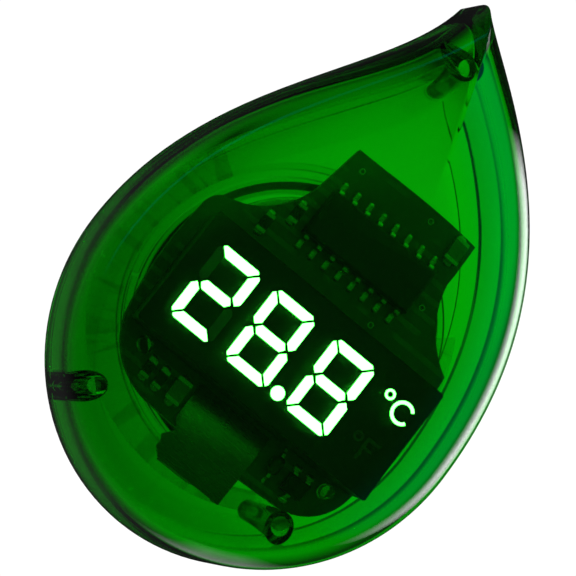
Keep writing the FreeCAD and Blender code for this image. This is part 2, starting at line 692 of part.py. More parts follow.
def build():
    save("front_shell", front_shell())
    save("back_cover", back_cover())
    save("adhesive_pad", adhesive_pad())
    save("battery_door", battery_door())
    save("door_seal", door_seal())
    for node, shape in zip(("cell_can", "cell_gasket", "cell_cap", "cell_core"), coin_cell()):
        save(node, shape)
    save("main_board", main_board())
    save("controller_chip", chip())
    save("controller_leads", chip_leads())
    bodies, ends = passives(RESISTORS, RESISTOR_SIZE)
    save("resistor_bodies", bodies)
    save("resistor_ends", ends)
    bodies, ends = passives(CAPACITORS, CAPACITOR_SIZE)
    save("capacitor_bodies", bodies)
    save("capacitor_ends", ends)
    for node, shape in zip(("transistor_body", "transistor_legs"), transistor()):
        save(node, shape)
    for node, shape in zip(("thermistor_bead", "thermistor_leads"), thermistor()):
        save(node, shape)
    names = ("led_board", "display_case", "display_film", "segments_lit", "segments_dark",
             "celsius_mark", "fahrenheit_mark", "led_dies")
    for node, shape in zip(names, display()):
        save(node, shape)
    save("display_pins", display_pins())
    save("solder_joints", solder_joints())
    save("positive_contact", positive_contact())
    save("negative_contact", negative_contact())
    save("mode_key", mode_key())
    for node, shape in zip(("switch_base", "switch_cover", "switch_plunger", "switch_dome"),
                           key_switch()):
        save(node, shape)


build()
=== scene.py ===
# %% [markdown]
# # A drop-shaped thermometer in see-through green plastic
# The case is a pebble in the shape of a drop. It is moulded in clear green plastic, so everything
# inside shows: a circuit board, its chip, a coin cell behind, and a lit display in front.
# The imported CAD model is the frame. Each cell below adds one piece or one finish to it.

import math

import bmesh
import bpy
from mathutils import Matrix, Vector


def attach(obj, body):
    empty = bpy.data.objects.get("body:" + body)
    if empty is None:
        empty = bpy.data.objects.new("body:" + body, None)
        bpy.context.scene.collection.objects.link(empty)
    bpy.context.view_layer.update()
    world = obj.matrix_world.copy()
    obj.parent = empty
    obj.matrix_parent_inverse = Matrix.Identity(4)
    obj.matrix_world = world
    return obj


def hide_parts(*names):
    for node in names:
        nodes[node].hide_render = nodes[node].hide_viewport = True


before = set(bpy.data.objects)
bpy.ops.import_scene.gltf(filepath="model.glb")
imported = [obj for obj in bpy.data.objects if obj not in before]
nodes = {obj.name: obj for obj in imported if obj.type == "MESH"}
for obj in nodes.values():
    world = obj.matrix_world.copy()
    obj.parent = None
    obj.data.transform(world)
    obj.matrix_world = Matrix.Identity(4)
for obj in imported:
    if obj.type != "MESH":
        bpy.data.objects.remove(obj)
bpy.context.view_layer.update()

# %% [markdown]
# ## Camera
# A long lens a little to the left of the object and a little below it keeps the outline almost
# free of perspective. The camera is rolled, so the upright drop lies slanted in the frame.

# %% Camera
MM = 0.001
VIEW_AZIMUTH = math.radians(-11)
VIEW_ELEVATION = math.radians(-9)
ROLL = math.radians(37.8)
DISTANCE = 400 * MM
FRAME_WIDTH = 43.3 * MM      # what the picture spans at the object
SENSOR = 36.0
AIM = Vector((-1.5, -4.5, 2.6)) * MM

towards = Vector((math.sin(VIEW_AZIMUTH) * math.cos(VIEW_ELEVATION),
                  -math.cos(VIEW_AZIMUTH) * math.cos(VIEW_ELEVATION),
                  math.sin(VIEW_ELEVATION)))
level_right = (-towards).cross(Vector((0, 0, 1))).normalized()
level_up = level_right.cross(-towards)
VIEW_RIGHT = math.cos(ROLL) * level_right + math.sin(ROLL) * level_up
VIEW_UP = math.cos(ROLL) * level_up - math.sin(ROLL) * level_right


def turned(right, up, back, place):
    """A matrix whose columns are the three given directions, at a place."""
    rows = [[right[i], up[i], back[i], place[i]] for i in range(3)]
    return Matrix(rows + [[0, 0, 0, 1]])


def link(obj):
    bpy.context.scene.collection.objects.link(obj)
    return obj


camera = link(bpy.data.objects.new("camera", bpy.data.cameras.new("camera")))
camera.data.sensor_width = SENSOR
camera.data.lens = SENSOR * DISTANCE / FRAME_WIDTH
camera.data.clip_start = 0.01
camera.matrix_world = turned(VIEW_RIGHT, VIEW_UP, towards, AIM + towards * DISTANCE)
bpy.context.scene.camera = camera
print("lens", round(camera.data.lens, 1), "mm")

# %% [markdown]
# ## Colours and node helper
# Colours are written as the hex values a screen shows and turned to linear light once.
# One small function adds any shader node with its settings and its links.

# %% Helpers for materials
def srgb(code):
    """A hex colour as linear red, green, blue and alpha."""
    parts = [int(code[i:i + 2], 16) / 255 for i in (0, 2, 4)]
    linear = [c / 12.92 if c <= 0.04045 else ((c + 0.055) / 1.055) ** 2.4 for c in parts]
    return (*linear, 1.0)


def add(tree, kind, inputs=None, **settings):
    """One node: its settings, then its inputs, each a value or another node's output."""
    node = tree.nodes.new(kind)
    for name, value in settings.items():
        setattr(node, name, value)
    for name, value in (inputs or {}).items():
        if isinstance(value, bpy.types.NodeSocket):
            tree.links.new(value, node.inputs[name])
        else:
            node.inputs[name].default_value = value
    return node


def new_material(name):
    """An empty material with its output node."""
    material = bpy.data.materials.new(name)
    material.use_nodes = True
    tree = material.node_tree
    tree.nodes.clear()
    return material, tree, add(tree, "ShaderNodeOutputMaterial")


def grain(tree, size_mm, detail=4.0, where=None):
    """Noise whose blobs are about size_mm across, on the piece's own coordinates."""
    if where is None:
        where = add(tree, "ShaderNodeTexCoord").outputs["Object"]
    return add(tree, "ShaderNodeTexNoise", {"Vector": where, "Scale": 1 / (size_mm * MM),
                                            "Detail": detail})


def between(tree, factor, low, high, start=0.0, end=1.0):
    """Maps a factor onto a range."""
    return add(tree, "ShaderNodeMapRange", {"Value": factor, "From Min": start, "From Max": end,
                                            "To Min": low, "To Max": high}).outputs["Result"]


def blended(tree, factor, first, second):
    """A mix of two hex colours."""
    mix = add(tree, "ShaderNodeMix", data_type="RGBA")
    tree.links.new(factor, mix.inputs[0])
    mix.inputs[6].default_value = srgb(first)
    mix.inputs[7].default_value = srgb(second)
    return mix.outputs[2]


def bumped(tree, height, depth_mm, strength=1.0):
    return add(tree, "ShaderNodeBump", {"Height": height, "Distance": depth_mm * MM,
                                        "Strength": strength}).outputs["Normal"]

# %% [markdown]
# ## Clear green plastic
# The shells are injection-moulded ABS-like styrene, tinted in the mass and polished by the
# mould. The tint sits in the depth of the wall: a thin wall is bright green, and an edge, where
# light runs a long way inside the plastic, is nearly black. Volume Absorption gives just that.
# The surface shines (roughness about 0.03) and has the faint swell that moulded sheet shows.

# %% Clear green plastic
def clear_green_styrene():
    material, tree, out = new_material("clear_green_styrene")
    swell = grain(tree, 9.0, 1.0)
    scuffs = grain(tree, 0.6, 6.0)
    rough = between(tree, scuffs.outputs["Fac"], 0.012, 0.05, 0.35, 0.75)
    surface = add(tree, "ShaderNodeBsdfPrincipled", {
        "Base Color": (1.0, 1.0, 1.0, 1.0), "IOR": 1.55, "Transmission Weight": 1.0,
        "Roughness": rough, "Normal": bumped(tree, swell.outputs["Fac"], 0.05, 0.5)})
    tint = add(tree, "ShaderNodeVolumeAbsorption", {"Color": (0.02, 0.925, 0.05, 1.0),
                                                    "Density": 2550.0})
    tree.links.new(surface.outputs[0], out.inputs["Surface"])
    tree.links.new(tint.outputs[0], out.inputs["Volume"])
    return material


GREEN = clear_green_styrene()

# %% [markdown]
# ## The outline of the drop
# The drop is half an ellipse below and two bowed flanks above, which meet in a small round nose.
# It is drawn by formula, so the same outline can be moved inwards for the wall's inner face and
# for the rounding towards the front.

# %% Outline by formula
BELLY_RX, BELLY_RZ, BELLY_Z = 15.97, 16.8, -2.03
TIP = Vector((-3.55, 28.4))
FLANKS = {"right": (20.1, 4.8, 315.0), "left": (14.0, 7.7, 262.0)}   # rise, pull, direction
TIP_CUT = 0.009
QUARTER_STEPS, FLANK_STEPS, NOSE_STEPS = 44, 64, 14


def bezier(poles, t):
    """A point on a Bezier curve of any degree."""
    points = list(poles)
    while len(points) > 1:
        points = [a.lerp(b, t) for a, b in zip(points, points[1:])]
    return points[0]


def outline(inset):
    """The drop's outline in millimetres, moved in by inset, anticlockwise from the left."""
    half = math.radians((FLANKS["right"][2] - FLANKS["left"][2]) / 2)
    down = math.radians((FLANKS["right"][2] + FLANKS["left"][2]) / 2)
    tip = TIP + Vector((math.cos(down), math.sin(down))) * (inset / math.sin(half))
    rx, rz, shrink = BELLY_RX - inset, BELLY_RZ - inset, 1 - inset / BELLY_RX
    points = []
    for step in range(2 * QUARTER_STEPS):
        turn = math.pi * (1 + step / (2 * QUARTER_STEPS))
        points.append(Vector((rx * math.cos(turn), BELLY_Z + rz * math.sin(turn))))
    poles = {}
    for side, sign in (("right", 1), ("left", -1)):
        rise, pull, degrees = FLANKS[side]
        start = Vector((sign * rx, BELLY_Z))
        lean = Vector((math.cos(math.radians(degrees)), math.sin(math.radians(degrees))))
        poles[side] = [start, start + Vector((0, rise * shrink)), tip + lean * pull * shrink, tip]
    last = 1 - TIP_CUT
    points += [bezier(poles["right"], last * i / FLANK_STEPS) for i in range(FLANK_STEPS)]
    nose = [bezier(poles["right"], last), tip, bezier(poles["left"], last)]
    points += [bezier(nose, i / NOSE_STEPS) for i in range(NOSE_STEPS)]
    points += [bezier(poles["left"], last * (1 - i / FLANK_STEPS)) for i in range(FLANK_STEPS)]
    return points


print("outline points:", len(outline(0)))

# %% [markdown]
# ## Building closed moulded pieces
# A moulding is a stack of outlines, each at its own inset and depth, joined ring to ring. The
# last ring is closed with a face. Depths are counted from the glass towards the viewer.

# %% Helpers for meshes
def from_bmesh(bm, name):
    mesh = bpy.data.meshes.new(name)
    bm.to_mesh(mesh)
    bm.free()
    return link(bpy.data.objects.new(name, mesh))


def stacked(profile, name):
    """A closed solid from (inset, depth) pairs in millimetres, with both ends capped."""
    bm = bmesh.new()
    rings = []
    for inset, depth in profile:
        rings.append([bm.verts.new((p.x * MM, -depth * MM, p.y * MM)) for p in outline(inset)])
    for low, high in zip(rings, rings[1:]):
        count = len(low)
        for i in range(count):
            j = (i + 1) % count
            bm.faces.new((low[i], low[j], high[j], high[i]))
    bm.faces.new(rings[0][::-1])
    bm.faces.new(rings[-1])
    bmesh.ops.recalc_face_normals(bm, faces=bm.faces)
    return from_bmesh(bm, name)


def round_bar(x, z, radius, start, end, name="tool", steps=48):
    """A round bar along the depth axis."""
    bm = bmesh.new()
    rings = []
    for depth in (start, end):
        rings.append([bm.verts.new(((x + radius * math.cos(math.tau * i / steps)) * MM,
                                    -depth * MM,
                                    (z + radius * math.sin(math.tau * i / steps)) * MM))
                      for i in range(steps)])
    for i in range(steps):
        j = (i + 1) % steps
        bm.faces.new((rings[0][i], rings[0][j], rings[1][j], rings[1][i]))
    bm.faces.new(rings[0][::-1])
    bm.faces.new(rings[1])
    bmesh.ops.recalc_face_normals(bm, faces=bm.faces)
    return from_bmesh(bm, name)


def carve(piece, tool, how):
    """Applies a boolean with a tool piece and deletes the tool."""
    modifier = piece.modifiers.new("carve", "BOOLEAN")
    modifier.operation = how
    modifier.solver = "EXACT"
    modifier.object = tool
    bake_modifiers(piece)
    bpy.data.objects.remove(tool)


def bake_modifiers(piece):
    """Turns a piece with modifiers into a plain mesh."""
    graph = bpy.context.evaluated_depsgraph_get()
    mesh = bpy.data.meshes.new_from_object(piece.evaluated_get(graph))
    piece.modifiers.clear()
    piece.data = mesh


def shade(piece, degrees=35):
    """Smooth where the surface bends gently, sharp at real edges."""
    bm = bmesh.new()
    bm.from_mesh(piece.data)
    limit = math.radians(degrees)
    for face in bm.faces:
        face.smooth = True
    for edge in bm.edges:
        edge.smooth = len(edge.link_faces) == 2 and edge.calc_face_angle(0) < limit
    bm.to_mesh(piece.data)
    bm.free()


def finished(piece, material, body, node=None, degrees=35):
    """Gives a piece its finish and its body, and hides the CAD node it stands for."""
    shade(piece, degrees)
    piece.data.materials.clear()
    piece.data.materials.append(material)
    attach(piece, body)
    if node:
        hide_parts(node)
    print(piece.name, "faces", len(piece.data.polygons))
    return piece

# %% [markdown]
# ## Front shell
# Outside, straight sides roll over into a gently crowned front. Inside, the same shape again,
# one wall thickness in. Three hollow posts take the pins of the back cover.

# %% Front shell
PARTING = 2.2
SIDE_TOP = 6.2
INNER_FRONT = 12.1
SHELL_FRONT = 13.3
WALL = 1.2
CROWN_INSET, CROWN_POWER = 6.0, 3.0
CROWN_STEPS = 26
POSTS = ((-2.4, 22.7), (7.4, -12.7), (-9.7, -13.1))
POST_R, SOCKET_R = 1.1, 0.71


def crown(inset, front, start):
    """(inset, depth) pairs of a straight side that rolls over into a flat front."""
    pairs = [(inset, start)]
    pairs += [(inset, start + (SIDE_TOP - start) * i / 4) for i in range(1, 5)]
    for step in range(1, CROWN_STEPS + 1):
        turn = math.pi / 2 * step / CROWN_STEPS
        out = max(0.0, math.cos(turn)) ** (2 / CROWN_POWER)
        up = math.sin(turn) ** (2 / CROWN_POWER)
        pairs.append((inset + CROWN_INSET * (1 - out), SIDE_TOP + (front - SIDE_TOP) * up))
    return pairs


shell = stacked([(0.1, PARTING + 0.02)] + crown(0.0, SHELL_FRONT, PARTING + 0.1),
                "shell_front_moulding")
hollow = stacked(crown(WALL, INNER_FRONT, PARTING - 0.5), "hollow")
for x, z in POSTS:
    carve(hollow, round_bar(x, z, POST_R, PARTING + 0.15, SHELL_FRONT), "DIFFERENCE")
    carve(hollow, round_bar(x, z, SOCKET_R, PARTING - 0.5, INNER_FRONT), "UNION")
carve(shell, hollow, "DIFFERENCE")
finished(shell, GREEN, "case", "front_shell")

# %% [markdown]
# ## Pieces carried over from CAD
# The back cover, door, cell and small turned pieces have the right shape already. Their meshes
# are loose triangles, which shade as facets, so a copy is merged and shaded smooth.

# %% Smooth copies of CAD pieces
def smooth_copy(node, name, material, body, degrees=35, edge_mm=0.0, face_mm=None):
    """A merged, smoothly shaded copy of a CAD node, which it replaces.

    face_mm moves one flat face from a depth to another, where light would otherwise slip
    between two faces that touch.
    """
    bm = bmesh.new()
    bm.from_mesh(nodes[node].data)
    bmesh.ops.remove_doubles(bm, verts=bm.verts, dist=1e-6)
    if face_mm:
        for vert in bm.verts:
            if abs(vert.co.y / MM + face_mm[0]) < 0.002:
                vert.co.y = -face_mm[1] * MM
    piece = from_bmesh(bm, name)
    if edge_mm:
        bevel = piece.modifiers.new("rounded edges", "BEVEL")
        bevel.width = edge_mm * MM
        bevel.segments = 2
        bevel.limit_method = "ANGLE"
        bevel.angle_limit = math.radians(50)
        bake_modifiers(piece)
    return finished(piece, material, body, node, degrees)


smooth_copy("back_cover", "back_cover_moulding", GREEN, "case")
smooth_copy("battery_door", "battery_door_moulding", GREEN, "door", face_mm=(2.15, 2.12))
smooth_copy("mode_key", "mode_key_moulding", GREEN, "key")

# %% [markdown]
# ## Opaque finishes
# Most finishes here differ in four things: base colour, metallic, roughness, and the size of the
# mottle in the surface. One helper builds such a finish from those four and a fine bump. Pieces
# with a pattern of their own, such as the circuit board, get their own material further down.

# %% Helper for opaque finishes
def opaque_finish(name, light, dark, metallic=0.0, rough=(0.3, 0.5), grain_mm=0.4, bump_mm=0.004,
                  stretch=(1, 1, 1)):
    """Mottle between two hex colours, with roughness and a fine bump from the same grain."""
    material, tree, out = new_material(name)
    where = add(tree, "ShaderNodeMapping", {"Vector": add(tree, "ShaderNodeTexCoord").outputs["Object"],
                                            "Scale": stretch}).outputs[0]
    mottle = grain(tree, grain_mm, 5.0, where).outputs["Fac"]
    spread = between(tree, mottle, 0.0, 1.0, 0.3, 0.7)
    surface = add(tree, "ShaderNodeBsdfPrincipled", {
        "Base Color": blended(tree, spread, dark, light), "Metallic": metallic,
        "Roughness": between(tree, spread, rough[1], rough[0]),
        "Normal": bumped(tree, mottle, bump_mm)})
    tree.links.new(surface.outputs[0], out.inputs["Surface"])
    return material


def wear(node, material):
    """Gives a CAD node that stays as it is its finish."""
    mesh = nodes[node].data
    mesh.materials.clear()
    mesh.materials.append(material)
    print(node, "->", material.name)

# %% [markdown]
# ## Coin cell, its seal and its contacts
# The can is deep-drawn steel with bright nickel plating: a mirror with a faint brushed haze. The
# cap is the same steel, and a thin ring of black polypropylene keeps the two apart. The contacts
# are spring steel, rolled and then plated, so their grain runs one way.

# %% Cell and contacts
bright_nickel = opaque_finish("bright_nickel_plated_steel", "D2D0CA", "B9B7B0", 1.0, (0.12, 0.28),
                              0.35, 0.002)
rolled_steel = opaque_finish("rolled_spring_steel", "8E8D88", "84837E", 1.0, (0.26, 0.3),
                             0.12, 0.001, (0.08, 1, 1))
black_polypropylene = opaque_finish("black_polypropylene_gasket", "26282A", "17191A", 0.0,
                                    (0.35, 0.5), 0.3)
pressed_powder = opaque_finish("pressed_manganese_powder", "3A3936", "232220", 0.0, (0.8, 0.95),
                               0.15, 0.02)
smooth_copy("cell_can", "coin_cell_can", bright_nickel, "cell_and_seal")
smooth_copy("cell_cap", "coin_cell_cap", bright_nickel, "cell_and_seal")
smooth_copy("cell_gasket", "coin_cell_gasket", black_polypropylene, "cell_and_seal")
wear("cell_core", pressed_powder)
smooth_copy("positive_contact", "positive_contact_strip", rolled_steel, "case", edge_mm=0.06)
wear("negative_contact", rolled_steel)

# %% [markdown]
# ## Gel pad and seal
# The pad that sticks to the glass is cast polyurethane gel: water-clear and soft. It wets the
# plastic it sits on, so almost no light turns back at the joint, and it bends light no more than
# the cover does. A mostly see-through surface with a soft shine shows that better than glass,
# which would bend the light again. The seal is a flat ring of grey silicone rubber, matt.

# %% Gel and silicone
def clear_polyurethane_gel():
    material, tree, out = new_material("clear_polyurethane_gel")
    dimples = grain(tree, 0.8, 3.0).outputs["Fac"]
    surface = add(tree, "ShaderNodeBsdfPrincipled", {
        "Base Color": blended(tree, dimples, "C9D3CB", "DDE6DF"), "Alpha": 0.1,
        "Roughness": between(tree, dimples, 0.12, 0.3), "Normal": bumped(tree, dimples, 0.01)})
    tree.links.new(surface.outputs[0], out.inputs["Surface"])
    return material


silicone_rubber = opaque_finish("grey_silicone_rubber", "5C635E", "4A504C", 0.0, (0.5, 0.7), 0.5,
                                0.008)
smooth_copy("adhesive_pad", "gel_pad", clear_polyurethane_gel(), "case")
smooth_copy("door_seal", "door_seal_ring", silicone_rubber, "cell_and_seal")

# %% [markdown]
# ## Circuit board
# The board is woven glass and epoxy under a green solder mask. The mask lies over etched copper,
# so tracks show as slightly raised, slightly lighter lines. A Wave texture draws a ladder of
# tracks 0.4 mm wide at a pitch of 1.27 mm, and a coarse Noise keeps them to some areas, as on a
# board where tracks lead from one part to the next. A finer noise varies the bare mask's shine and
# relief.

# %% Solder-masked laminate
TRACK_PITCH = 1.27


def masked_laminate():
    material, tree, out = new_material("green_masked_glass_laminate")
    where = add(tree, "ShaderNodeTexCoord").outputs["Object"]
    tracks = add(tree, "ShaderNodeTexWave", {
        "Vector": where, "Scale": math.tau / (20 * TRACK_PITCH * MM), "Distortion": 0.0},
        bands_direction="Z", wave_profile="SIN").outputs["Fac"]
    areas = grain(tree, 4.0, 1.0).outputs["Fac"]
    lines = add(tree, "ShaderNodeMath", {0: between(tree, tracks, 0.0, 1.0, 0.7, 0.8),
                                         1: between(tree, areas, 0.0, 1.0, 0.5, 0.56)},
                operation="MULTIPLY").outputs[0]
    weave = grain(tree, 0.5, 2.0).outputs["Fac"]
    mask = blended(tree, between(tree, lines, 0.0, 1.0), "1B5C2A", "2E7F40")
    height = add(tree, "ShaderNodeMath", {0: weave, 1: 0.3, 2: lines},
                 operation="MULTIPLY_ADD").outputs[0]
    surface = add(tree, "ShaderNodeBsdfPrincipled", {
        "Base Color": mask, "Roughness": between(tree, weave, 0.3, 0.42), "Coat Weight": 0.3,
        "Coat Roughness": 0.2, "Normal": bumped(tree, height, 0.02, 0.5)})
    tree.links.new(surface.outputs[0], out.inputs["Surface"])
    return material


wear("main_board", masked_laminate())

# %% [markdown]
# ## Parts on the board
# The chip is transfer-moulded epoxy, black with a fine sparkle of quartz filler. Leads and end
# caps are copper under bright tin. The resistors carry a black glaze on white ceramic, and the
# capacitors are bare tan ceramic. The thermistor is a glass bead.

# %% Chip, leads and passives
moulded_epoxy = opaque_finish("black_moulding_epoxy", "222423", "141515", 0.0, (0.42, 0.6), 0.08, 0.006)
bright_tin = opaque_finish("bright_tinned_copper", "DADBD6", "BDBEB8", 1.0, (0.14, 0.3), 0.25, 0.004)
reflowed_solder = opaque_finish("reflowed_solder", "D0D2CE", "A9ABA6", 1.0, (0.16, 0.34), 0.3, 0.01)
tan_ceramic = opaque_finish("tan_ceramic", "B79A72", "A3875F", 0.0, (0.35, 0.55), 0.2, 0.004)
black_glaze = opaque_finish("black_resistor_glaze", "1C1D1F", "101112", 0.0, (0.15, 0.3), 0.3, 0.003)
amber_glass = opaque_finish("amber_bead_glass", "7A4A22", "5A3214", 0.0, (0.06, 0.14), 0.5, 0.002)
smooth_copy("controller_chip", "controller_chip_body", moulded_epoxy, "case", edge_mm=0.05)
smooth_copy("transistor_body", "transistor_chip_body", moulded_epoxy, "case", edge_mm=0.04)
for node in ("transistor_legs", "thermistor_leads", "resistor_ends", "capacitor_ends",
             "display_pins", "switch_cover"):
    wear(node, bright_tin)
wear("solder_joints", reflowed_solder)
wear("capacitor_bodies", tan_ceramic)
wear("resistor_bodies", black_glaze)
smooth_copy("thermistor_bead", "thermistor_glass_bead", amber_glass, "case", 60)

# %% [markdown]
# ## Leads and solder in rows
# The chip stands on sixteen gull-wing leads, two rows of eight at a pitch of 1.27 mm, each in its
# own fillet of solder. What repeats in rows is made by Geometry Nodes: a Mesh Line gives the
# places, Instance on Points puts one lead on each, and the same row turned half round is the
# other side. Realize Instances and Set Material end the tree, so the result is a plain mesh.

# %% Geometry Nodes helpers
def geometry_tree(name, sizes):
    """An empty tree with a geometry socket each way and a named input for each size."""
    tree = bpy.data.node_groups.new(name, "GeometryNodeTree")
    tree.interface.new_socket("Geometry", in_out="INPUT", socket_type="NodeSocketGeometry")
    for label, kind in sizes.items():
        tree.interface.new_socket(label, in_out="INPUT", socket_type="NodeSocket" + kind)
    tree.interface.new_socket("Geometry", in_out="OUTPUT", socket_type="NodeSocketGeometry")
    return tree, add(tree, "NodeGroupInput")


def realised(tree, geometry, material):
    """Ends a tree: instances become mesh, and the mesh gets its finish."""
    real = add(tree, "GeometryNodeRealizeInstances", {"Geometry": geometry})
    coated = add(tree, "GeometryNodeSetMaterial", {"Geometry": real.outputs[0],
                                                   "Material": material})
    add(tree, "NodeGroupOutput", {"Geometry": coated.outputs[0]})


def grown(start, tree, values):
    """Runs a tree on a piece with the given inputs, set by socket identifier."""
    modifier = start.modifiers.new(tree.name, "NODES")
    modifier.node_group = tree
    for item in tree.interface.items_tree:
        if item.in_out == "INPUT" and item.name in values:
            modifier[item.identifier] = values[item.name]
    bake_modifiers(start)
    return start


def empty_mesh(name, points=()):
    mesh = bpy.data.meshes.new(name)
    mesh.from_pydata([Vector(p) * MM for p in points], [], [])
    return link(bpy.data.objects.new(name, mesh))

# %% [markdown]
# ## Two rows that mirror each other
# The tree takes the piece, how many there are, their pitch, the middle of both rows and the
# finish. Its output is both rows as one mesh.

# %% Two rows of the same piece
def paired_rows_tree():
    tree, given = geometry_tree("paired_rows", {
        "Piece": "Object", "Count": "Int", "Pitch": "Float", "Centre": "Vector",
        "Finish": "Material"})
    half = add(tree, "ShaderNodeMath", {0: given.outputs["Count"], 1: 1}, operation="SUBTRACT")
    span = add(tree, "ShaderNodeMath", {0: half.outputs[0], 1: given.outputs["Pitch"]},
               operation="MULTIPLY")
    first = add(tree, "ShaderNodeMath", {0: span.outputs[0], 1: -0.5}, operation="MULTIPLY")
    step = add(tree, "ShaderNodeCombineXYZ", {"X": given.outputs["Pitch"]})
    begin = add(tree, "ShaderNodeCombineXYZ", {"X": first.outputs[0]})
    line = add(tree, "GeometryNodeMeshLine", {"Count": given.outputs["Count"],
                                              "Start Location": begin.outputs[0],
                                              "Offset": step.outputs[0]})
    one = add(tree, "GeometryNodeObjectInfo", {"Object": given.outputs["Piece"]})
    row = add(tree, "GeometryNodeInstanceOnPoints", {"Points": line.outputs[0],
                                                     "Instance": one.outputs["Geometry"]})
    other = add(tree, "GeometryNodeTransform", {"Geometry": row.outputs[0],
                                                "Rotation": (0, math.pi, 0)})
    both = add(tree, "GeometryNodeJoinGeometry")
    tree.links.new(row.outputs[0], both.inputs[0])
    tree.links.new(other.outputs[0], both.inputs[0])
    placed = add(tree, "GeometryNodeTransform", {"Geometry": both.outputs[0],
                                                 "Translation": given.outputs["Centre"]})
    realised(tree, placed.outputs[0], given.outputs["Finish"])
    return tree


PAIRED_ROWS = paired_rows_tree()
print("inputs:", [item.name for item in PAIRED_ROWS.interface.items_tree])

# %% [markdown]
# ## One gull-wing lead and one fillet
# A lead leaves the chip's waist level, bends down, and bends again into a flat foot. Its middle
# line is drawn by a curve through six poles, and the strip is built round that line. A fillet is
# a flattened dome of solder over the foot's end.

# %% Lead and fillet
BOARD_FRONT = 7.2
CHIP_X, CHIP_Z = 0.95, 7.95
LEAD_W, LEAD_T = 0.42, 0.2
LEAD_PITCH, LEADS_A_SIDE = 1.27, 8
LEAD_LINE = [(1.95, 0.775), (2.3, 0.775), (2.34, 0.6), (2.36, 0.12), (2.45, 0.1), (3.0, 0.1)]


def one_lead():
    """A bent strip, as (x, depth axis, z) round its middle line, which is (z, height)."""
    line = [Vector(p) for p in LEAD_LINE]
    middle = [line[0].lerp(line[1], t) for t in (0, 0.5)]
    middle += [bezier([line[0].lerp(line[1], 0.6), line[1], line[2]], t / 4) for t in range(5)]
    middle += [bezier([line[2].lerp(line[3], 0.6), line[3], line[4]], t / 4) for t in range(5)]
    middle += [line[4].lerp(line[5], t) for t in (0.3, 1)]
    ring_of = [(-0.5, -0.35), (-0.38, -0.5), (0.38, -0.5), (0.5, -0.35),
               (0.5, 0.35), (0.38, 0.5), (-0.38, 0.5), (-0.5, 0.35)]
    bm = bmesh.new()
    rings = []
    for i, point in enumerate(middle):
        ahead = (middle[min(i + 1, len(middle) - 1)] - middle[max(i - 1, 0)]).normalized()
        normal = Vector((-ahead.y, ahead.x))
        ring = []
        for across, through in ring_of:
            spot = point + normal * (through * LEAD_T)
            ring.append(bm.verts.new((across * LEAD_W * MM, -spot.y * MM, spot.x * MM)))
        rings.append(ring)
    for low, high in zip(rings, rings[1:]):
        for i in range(8):
            bm.faces.new((low[i], low[(i + 1) % 8], high[(i + 1) % 8], high[i]))
    bm.faces.new(rings[0])
    bm.faces.new(rings[-1][::-1])
    bmesh.ops.recalc_face_normals(bm, faces=bm.faces)
    return from_bmesh(bm, "one_lead")


def one_dome(across, high, long, name, place=(0, 0, 0)):
    """The upper half of an ellipsoid that lies on the board, with a flat base."""
    bm = bmesh.new()
    bmesh.ops.create_uvsphere(bm, u_segments=16, v_segments=10, radius=1.0)
    bmesh.ops.bisect_plane(bm, geom=bm.verts[:] + bm.edges[:] + bm.faces[:], dist=1e-5,
                           plane_co=(0, 0, 0), plane_no=(0, 1, 0), clear_outer=True)
    bmesh.ops.holes_fill(bm, edges=[e for e in bm.edges if e.is_boundary])
    bm.transform(Matrix.Translation(Vector(place) * MM)
                 @ Matrix.Diagonal((across * MM, high * MM, long * MM, 1)))
    bmesh.ops.recalc_face_normals(bm, faces=bm.faces)
    return from_bmesh(bm, name)


CHIP_CENTRE = Vector((CHIP_X, -BOARD_FRONT, CHIP_Z)) * MM
lead = one_lead()
fillet = one_dome(0.27, 0.2, 0.26, "one_fillet", (0, 0, 2.98))
rows = {"Count": LEADS_A_SIDE, "Pitch": LEAD_PITCH * MM, "Centre": CHIP_CENTRE}
leads = grown(empty_mesh("controller_lead_rows"), PAIRED_ROWS,
              {**rows, "Piece": lead, "Finish": bright_tin})
finished(leads, bright_tin, "case", "controller_leads", 50)
fillets = grown(empty_mesh("controller_solder_fillets"), PAIRED_ROWS,
                {**rows, "Piece": fillet, "Finish": reflowed_solder})
finished(fillets, reflowed_solder, "case", degrees=50)
for spare in (lead, fillet):
    bpy.data.objects.remove(spare)

# %% [markdown]
# ## Solder and plated holes at single places
# The small parts sit in dabs of solder, and plated holes carry tracks through the board. Their
# places follow no row, so a mesh that is only points says where they are.

# %% Pieces at points
def at_points_tree():
    tree, given = geometry_tree("at_points", {"Piece": "Object", "Finish": "Material"})
    one = add(tree, "GeometryNodeObjectInfo", {"Object": given.outputs["Piece"]})
    spread = add(tree, "GeometryNodeInstanceOnPoints", {"Points": given.outputs["Geometry"],
                                                        "Instance": one.outputs["Geometry"]})
    realised(tree, spread.outputs[0], given.outputs["Finish"])
    return tree


def plated_ring(inner, outer, high, steps=24):
    """A low ring of tinned copper round a hole."""
    bm = bmesh.new()
    profile = [(inner, 0), (outer, 0), (outer - 0.03, high), (inner + 0.03, high)]
    rings = []
    for radius, rise in profile:
        rings.append([bm.verts.new((radius * math.cos(math.tau * i / steps) * MM, -rise * MM,
                                    radius * math.sin(math.tau * i / steps) * MM))
                      for i in range(steps)])
    for low, high_ring in zip(rings, rings[1:] + rings[:1]):
        for i in range(steps):
            j = (i + 1) % steps
            bm.faces.new((low[i], low[j], high_ring[j], high_ring[i]))
    bmesh.ops.recalc_face_normals(bm, faces=bm.faces)
    return from_bmesh(bm, "one_plated_ring")


